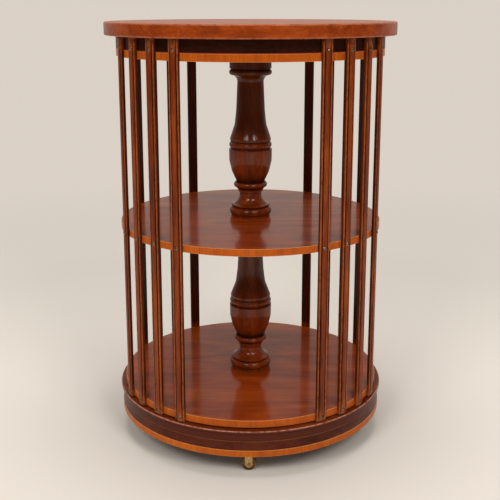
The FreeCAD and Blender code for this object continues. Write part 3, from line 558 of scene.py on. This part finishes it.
plate_low, plate_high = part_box("caster_plate_front")
plate_foot, rivet_top = plate_high.z - 2.5 * MM, plate_low.z + 1.6 * MM
plate_radius, rivet, pin = (plate_high.x - plate_low.x) / 2, 4.4 * MM, 3 * MM
plate_profile = contour([
    (0, plate_low.z, 0), (rivet, plate_low.z, 0), (rivet, rivet_top, 0), (pin, rivet_top, 0),
    (pin, plate_foot, 0), (plate_radius, plate_foot, 0), (plate_radius, plate_high.z, 0),
    (0, plate_high.z, 0)], 0.45 * MM, closed=False)
head_out, dome, axle_head, axle = 7.1 * MM, 0.7 * MM, 2.8 * MM, 2 * MM
axle_profile = contour([
    (0, -head_out - dome, 0), (axle_head, -head_out, 0.25 * MM), (axle, -head_out, 0),
    (axle, head_out, 0), (axle_head, head_out, 0), (0, head_out + dome, 0.25 * MM),
], 0.15 * MM, closed=False)

for side in SIDES:
    centre = (-TRAIL, -CASTER_CIRCLE, WHEEL)
    piece(f"caster_plate_{side}_pressed",
          [placed(turned(plate_profile, 96), side, shift=(0, -CASTER_CIRCLE, 0))],
          CASTER_BRASS, "base", "brass", f"caster_plate_{side}")
    cheeks = [placed(cheek_shell, side, lie=True, shift=(0, out - CASTER_CIRCLE, 0))
              for out in cheek_feet]
    piece(f"caster_fork_{side}_cast",
          [placed(crown, side, shift=(0, -CASTER_CIRCLE, 0))] + cheeks,
          CASTER_BRASS, f"caster_{side}", "brass", f"caster_fork_{side}")
    piece(f"caster_axle_{side}_pin", [placed(turned(axle_profile, 32), side, True, centre)],
          CASTER_BRASS, f"caster_{side}", "brass", f"caster_axle_{side}")
    piece(f"caster_wheel_{side}_turned", [placed(turned(wheel_profile, 96), side, True, centre)],
          SHADED_WHEEL_BRASS, f"wheel_{side}", "brass", f"caster_wheel_{side}")


# Boards. Three equal round mahogany boards, with the grain across the bookcase, are
# bored for the spindle and its bushes. Two carry books, and the upper one the frieze.

BOARD_WOOD = mahogany("board_mahogany", FLAT, (
    (0.15, 0.017, 0.001), (0.28, 0.038, 0.002), (0.42, 0.076, 0.005), (0.50, 0.15, 0.04)),
    cloud=0.6, stripe=0.3, polish=0.5, mottle=14)
for tier, bore in (("lower", 12), ("middle", 10), ("upper", 12)):
    low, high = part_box(f"{tier}_board")
    hoop(f"{tier}_board_turned", high.x - bore * MM, 0.1 * MM, BOARD_WOOD.material,
         "case", "mahogany", f"{tier}_board")


# Edge bands. Each board's edge is covered by a light satinwood crossband as thick as
# the board, glued on in lengths, with both arrises eased and lightened, partly as wear
# and partly as a painted highlight.

BAND = satinwood("band_satinwood", (
    (0.34, 0.056, 0.003), (0.49, 0.098, 0.006), (0.64, 0.160, 0.013)), 11, (0.85, 0.47, 0.16))
for tier in ("lower", "middle", "upper"):
    hoop(f"{tier}_edge_band_glued", 1.5 * MM, 0.6 * MM, BAND, "case", "satinwood",
         f"{tier}_edge_band")


# Columns. A turned and bored mahogany column stands in each tier: foot, scotia,
# collar, vase, belt and neck under a small capital. Both share these members, and the
# upper one has the longer neck. The polish is deep, and the necks are darkened with
# painted shade, as are the quirks between the members.

COLUMN_WOOD = mahogany("column_mahogany", UPRIGHT, (
    (0.085, 0.010, 0.001), (0.17, 0.024, 0.002), (0.28, 0.048, 0.006), (0.32, 0.08, 0.02)),
    cloud=0.3, stripe=0.4, polish=0.6)
# Heights up each column where the painted shade on the neck begins and is full.
NECK_SHADE_STARTS, NECK_SHADE_FULL = 126 * MM, 163 * MM
QUIRKS = (18.5, 51.5, 62.8, 122.8, 135.2)
height = COLUMN_WOOD.place().part("Z")
lower_foot, lower_head = (corner.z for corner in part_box("lower_column"))
upper_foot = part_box("upper_column")[0].z
# Painted shade: the necks' colour is multiplied darker from these heights up.
lower_neck = height.rising(lower_foot + NECK_SHADE_STARTS, lower_foot + NECK_SHADE_FULL)
upper_neck = height.rising(upper_foot + NECK_SHADE_STARTS, upper_foot + NECK_SHADE_FULL)
neck_painted_shade = lower_neck * (1.0 - height.rising(lower_head + MM, upper_foot - MM)) + upper_neck
COLUMN_WOOD.set(COLUMN_WOOD.shader, "Base Color", COLUMN_WOOD.mix(
    COLUMN_WOOD.colour, (0.52, 0.64, 0.8), neck_painted_shade, "MULTIPLY"))


def column_profile(top, neck):
    """The column's members from the foot up, as (radius, height, rise) in mm."""
    return [
        (10, 0, 0), (34.5, 0, 0), (34.5, 3, 0), (33, 3, 0), (33, 17.5, 4.3), (31, 17.5, 0),
        (31, 19.5, 0), (33.8, 19.5, 0), (33.8, 22.4, 0), (19.3, 40, -SCOTIA_RISE),
        (19.3, 45, 0), (22, 45, 0), (22, 47.5, 0), (25.2, 52.5, 0), (25.2, 62.5, 4.4),
        (VASE_FOOT, 62.5, 0), (VASE_SHOULDER, 121.5, VASE_RISE), (35, 121.5, 0), (35, 124, 0),
        (35, 134, 2.6), (35, 136.5, 0), (36, 136.5, 0), (36, 140.5, 0),
        (neck + 2.2, 190, -bow_rise(33.8 - neck, 49.5)), (neck, top - 47, 0),
        (33.6, top - 35, -bow_rise(33.6 - neck, 12)), (34.6, top - 35, 0),
        (34.6, top - 25.6, 2.7), (34, top - 25.6, 0), (34, top - 24, 0), (36.6, top - 24, 0),
        (36.6, top, 0), (10, top, 0)]


def bow_rise(out, up):
    """Rise of the arc that leaves upright and has moved out when it has gone up: its
    radius is (out^2 + up^2) / (2 out), and the rise is the radius less its distance
    from the chord."""
    radius = (out ** 2 + up ** 2) / (2 * out)
    return radius - math.sqrt(radius ** 2 - (out ** 2 + up ** 2) / 4)


SCOTIA_RISE = bow_rise(33.8 - 19.3, 17.6)
BELLY_RADIUS, BELLY_HEIGHT, VASE_FOOT, VASE_HEIGHT = 38.4, 49.5, 24.3, 59
swell = BELLY_RADIUS - VASE_FOOT
VASE_RADIUS = (BELLY_HEIGHT ** 2 + swell ** 2) / (2 * swell)
above = VASE_HEIGHT - BELLY_HEIGHT
VASE_SHOULDER = BELLY_RADIUS - VASE_RADIUS + math.sqrt(VASE_RADIUS ** 2 - above ** 2)
vase_chord = math.hypot(VASE_SHOULDER - VASE_FOOT, VASE_HEIGHT)
VASE_RISE = VASE_RADIUS - math.sqrt(VASE_RADIUS ** 2 - vase_chord ** 2 / 4)
for tier, neck in (("lower", 21.5), ("upper", 23)):
    low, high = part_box(f"{tier}_column")
    members = [(out * MM, low.z + up * MM, rise * MM)
               for out, up, rise in column_profile((high.z - low.z) / MM, neck)]
    points, edges = contour(members, 0.35 * MM)
    # Painted shade in the quirks: the edge value there goes below 0 and darkens them.
    quirks = [low.z + up * MM for up in QUIRKS] + [high.z - 24.8 * MM]
    away = np.abs(points[:, 1:] - np.array(quirks)).min(axis=1) / MM
    edges = np.where(away < 1.6, -np.exp(-(away / 1.3) ** 2), edges)
    piece(f"{tier}_column_turned", [turned((points, edges), 192)],
          COLUMN_WOOD.material, "case", "mahogany", f"{tier}_column")


# Slats. Sixteen mahogany strips, moulded with a bead along each edge, a quirk and a
# low crown, run outside the boards from just above the plinth to the top.

SLAT_WOOD = mahogany("slat_mahogany", UPRIGHT, (
    (0.09, 0.011, 0.001), (0.20, 0.030, 0.002), (0.33, 0.066, 0.007), (0.44, 0.15, 0.055)),
    cloud=0.2, stripe=0.45, polish=0.25)
slat_half, bead_foot, crown_half = 9 * MM, 6 * MM, 4.9 * MM
crown_rise, bead_rise = 1.1 * MM, 1.2 * MM
back, face = -230 * MM, -236.5 * MM
quirk, crown_edge = face + 2.3 * MM, face + crown_rise
section = contour([
    (slat_half, back, 0), (-slat_half, back, 0), (-slat_half, quirk, 0),
    (-bead_foot, quirk, bead_rise), (-crown_half, quirk, 0), (-crown_half, crown_edge, 0),
    (crown_half, crown_edge, crown_rise), (crown_half, quirk, 0), (bead_foot, quirk, 0),
    (slat_half, quirk, bead_rise)], 0.22 * MM)
across, front = np.abs(section[0][:, 0]) / MM, section[0][:, 1] < quirk + 0.3 * MM
BEAD_MIDDLE, QUIRK_MIDDLE = 7.5, 5.4
# Bead middles lightened, partly as wear and partly as a painted highlight.
rubbed_and_sheen = np.exp(-((across - BEAD_MIDDLE) / 0.8) ** 2) * front
# Painted shade: the quirks, and the sides and back of each slat, darken as the edge value goes
# below 0.
painted_shade = np.minimum(1.4 * np.exp(-((across - QUIRK_MIDDLE) / 0.9) ** 2), 1) * front
painted_shade = painted_shade + 0.75 * ~front
section = section[0], np.where(painted_shade > 0.4, -painted_shade, np.maximum(section[1] * 0.6, rubbed_and_sheen))
slat_low, slat_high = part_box("slat_01")
slat_ease = 0.5 * MM
stations = np.linspace(slat_low.z + slat_ease, slat_high.z - slat_ease, 25)
strip, strip_edges = carried(section, stations, (0, back - 0.3 * MM), slat_ease)
LEAN, SPACING = 2.1, 11.5
SLAT_ANGLES = [90 * quarter + 45 + (LEAN, -LEAN)[quarter % 2] + SPACING * (index - 1.5)
               for quarter in range(4) for index in range(4)]


def round_to(grid, degrees):
    """Turns points about the spindle from the front towards +X."""
    a = math.radians(degrees)
    x, y, z = np.moveaxis(grid, -1, 0)
    return np.stack([x * math.cos(a) - y * math.sin(a), x * math.sin(a) + y * math.cos(a), z],
                    axis=-1)


for number, degrees in enumerate(SLAT_ANGLES, start=1):
    piece(f"slat_{number:02d}_moulded", [(round_to(strip, degrees), strip_edges)],
          SLAT_WOOD.material, "case", "mahogany", f"slat_{number:02d}")


# Slat screws. Brass screws hold each slat to the lower and middle boards and to the
# frieze. Their round heads stand on the crown, slotted and turned as the driver left them.

SCREW_BRASS = aged_brass("screw_brass", (0.34, 0.22, 0.11), (0.07, 0.04, 0.02))
HEAD, RISE, SLOT, SLOT_FLOOR, SKIRT = 3.5 * MM, 2.1 * MM, 0.45 * MM, 0.9 * MM, 1.2 * MM


def slotted_head():
    """Dome x, y with y = t sqrt(R^2 - x^2), whose height is that of a ball through its
    rim and its top. Where x is inside the slot the height stops at the slot's floor. The
    columns at the slot's walls are doubled, and a skirt goes down into the wood."""
    outer = np.linspace(math.pi / 2, math.asin(SLOT / HEAD), 7)
    side = -HEAD * np.sin(outer)
    x = np.concatenate([side, [-SLOT, 0, SLOT], -side[::-1]])
    inside = np.zeros(len(x), bool)
    inside[len(side):len(side) + 3] = True
    t = np.sin(np.linspace(-math.pi / 2, math.pi / 2, 13))
    t = np.concatenate([[0, -1], t, [1, 0]])
    y = np.sqrt(np.maximum(HEAD ** 2 - x ** 2, 0)) * t[:, None]
    ball = (HEAD ** 2 + RISE ** 2) / (2 * RISE)
    height = np.sqrt(ball ** 2 - x ** 2 - y ** 2) - (ball - RISE)
    height = np.where(inside, np.minimum(height, SLOT_FLOOR), height)
    edges = np.zeros_like(height)
    edges[:, len(side) - 1] = edges[:, len(side) + 3] = 1
    height[[0, 1, -2, -1]] = -SKIRT
    return np.stack([x + 0 * y, y, height], axis=-1), edges


head, head_edges = slotted_head()
turns = np.random.default_rng(7).uniform(0, math.pi, 48).reshape(3, 16)
low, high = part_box("slat_screws")
middle_low, middle_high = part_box("middle_board")
SCREW_HEIGHTS = (low.z + HEAD, (middle_low.z + middle_high.z) / 2, high.z - HEAD)
shells = []
for row, height in enumerate(SCREW_HEIGHTS):
    for number, degrees in enumerate(SLAT_ANGLES):
        a = turns[row, number]
        x = head[..., 0] * math.cos(a) - head[..., 1] * math.sin(a)
        z = head[..., 0] * math.sin(a) + head[..., 1] * math.cos(a) + height
        stood = np.stack([x, face - head[..., 2], z], axis=-1)
        shells.append((round_to(stood, degrees), head_edges))
piece("slat_screws_slotted", shells, SCREW_BRASS, "case", "brass", "slat_screws")


# Frieze. A deep ring between the upper board and the top, built up of four segments,
# veneered over and stained almost black, but for a thin red-brown line at its foot.

FRIEZE_WOOD = mahogany("frieze_mahogany", (0.3, 0.3, 1.0), (
    (0.010, 0.002, 0.001), (0.024, 0.004, 0.001), (0.045, 0.008, 0.002), (0.10, 0.03, 0.015)),
    polish=0.12)
SEGMENTS = [f"frieze_segment_{number}" for number in range(1, 5)]
low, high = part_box(SEGMENTS[0])
line = 1.0 - FRIEZE_WOOD.place().part("Z").rising(low.z + 1.1 * MM, low.z + 1.5 * MM)
FRIEZE_WOOD.set(FRIEZE_WOOD.shader, "Base Color",
                FRIEZE_WOOD.mix(FRIEZE_WOOD.colour, (0.26, 0.032, 0.007), line))
hoop("frieze_built_up", 16 * MM, 0.15 * MM, FRIEZE_WOOD.material, "case", "dark_mahogany",
     *SEGMENTS)


# Top. One thick mahogany disc with a rounded rim, screwed from below. Its rim shows a
# cloudy, mottled figure, and its face is the most highly polished part.

TOP_WOOD = mahogany("top_mahogany", (0.2, 1.0, 1.0), (
    (0.15, 0.018, 0.002), (0.285, 0.042, 0.004), (0.42, 0.085, 0.011), (0.46, 0.16, 0.07)),
    cloud=0.5, stripe=0.25, polish=0.3, mottle=30)
low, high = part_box("top_board")
rim = contour([(0, low.z, 0), (high.x, low.z, 0), (high.x, high.z, 0), (0, high.z, 0)],
              3 * MM, closed=False)
piece("top_board_turned", [turned(rim, 320)], TOP_WOOD.material, "case", "mahogany",
      "top_board")


# Studio. A pale paper floor fades into a plain backdrop. Two soft boxes hang high in
# front and a broad one overhead, and the camera looks a little down from the front.

BACKDROP = (0.705, 0.635, 0.566)
FLOOR = (0.82, 0.765, 0.70)

floor_mesh = bpy.data.meshes.new("floor")
floor_mesh.from_pydata([(-9, -9, 0), (9, -9, 0), (9, 9, 0), (-9, 9, 0)], [], [(0, 1, 2, 3)])
floor = bpy.data.objects.new("floor", floor_mesh)
bpy.context.scene.collection.objects.link(floor)
paper = Finish("floor_paper", Roughness=0.9, Specular_IOR_Level=0.1)
out = paper.place().worked("LENGTH", paper.place())
seen = paper.node("ShaderNodeLightPath", {}, {}, "Is Camera Ray")
paper.set(paper.shader, "Base Color", FLOOR)
plain = paper.node("ShaderNodeEmission", {}, {"Color": BACKDROP, "Strength": 1.0})
far = paper.node("ShaderNodeMixShader", {}, {
    0: seen * out.rising(0.8, 2.3), 1: Wire(paper, paper.shader.outputs["BSDF"]), 2: plain})
paper.set(paper.tree.nodes["Material Output"], "Surface", far)
floor_mesh.materials.append(paper.material)


class Room(Finish):
    """The world round the studio, mixed with the same nodes."""

    def __init__(self, name):
        self.world = bpy.data.worlds.new(name)
        self.world.use_nodes = True
        self.tree = self.world.node_tree


room = Room("studio")
bpy.context.scene.world = room.world
path = [room.node("ShaderNodeLightPath", {}, {}, name)
        for name in ("Is Camera Ray", "Is Transmission Ray", "Is Glossy Ray")]
ahead = room.node("ShaderNodeTexCoord", {}, {}, "Generated").part("Y").rising(0.1, 0.7)
ambient = room.node("ShaderNodeBackground", {}, {"Color": (1.0, 0.965, 0.92), "Strength": 0.40})
dusk = room.node("ShaderNodeBackground", {}, {"Color": (0.05, 0.036, 0.025), "Strength": 1.0})
pale = room.node("ShaderNodeBackground", {}, {"Color": BACKDROP, "Strength": 1.0})
unlit = room.node("ShaderNodeMixShader", {}, {0: path[2], 1: ambient, 2: dusk})
shown = room.node("ShaderNodeMixShader", {}, {
    0: path[0] + path[1] + path[2] * ahead, 1: unlit, 2: pale})
room.set(room.tree.nodes["World Output"], "Surface", shown)


def soft_box(name, place, aim, width, height, power):
    """A rectangular lamp that faces a point."""
    lamp = bpy.data.lights.new(name, "AREA")
    lamp.shape = "RECTANGLE"
    lamp.size, lamp.size_y = width, height
    lamp.energy = power
    lamp.color = (1.0, 0.98, 0.95)
    stand = bpy.data.objects.new(name, lamp)
    stand.location = place
    stand.rotation_euler = (Vector(aim) - Vector(place)).to_track_quat("-Z", "Y").to_euler()
    bpy.context.scene.collection.objects.link(stand)


soft_box("soft_box_left", (-1.5, -2.9, 3.0), (0, 0, 0.40), 1.3, 1.2, 52)
soft_box("soft_box_right", (1.5, -2.9, 3.0), (0, 0, 0.40), 1.3, 1.2, 52)
soft_box("soft_box_overhead", (0, 0.1, 3.2), (0, 0, 0), 1.5, 1.5, 38)

FRAME, FOCAL, SENSOR, PITCH = 500, 882.39, 36, 12.742
lens = bpy.data.cameras.new("camera")
lens.sensor_width = SENSOR
lens.lens = FOCAL / FRAME * SENSOR
lens.shift_x = -0.001
lens.shift_y = -0.09
camera = bpy.data.objects.new("camera", lens)
camera.location = (0, -1.5463, 0.7551)
camera.rotation_euler = (math.radians(90 - PITCH), 0, 0)
bpy.context.scene.collection.objects.link(camera)
bpy.context.scene.camera = camera
bpy.context.scene.view_settings.view_transform = "Standard"
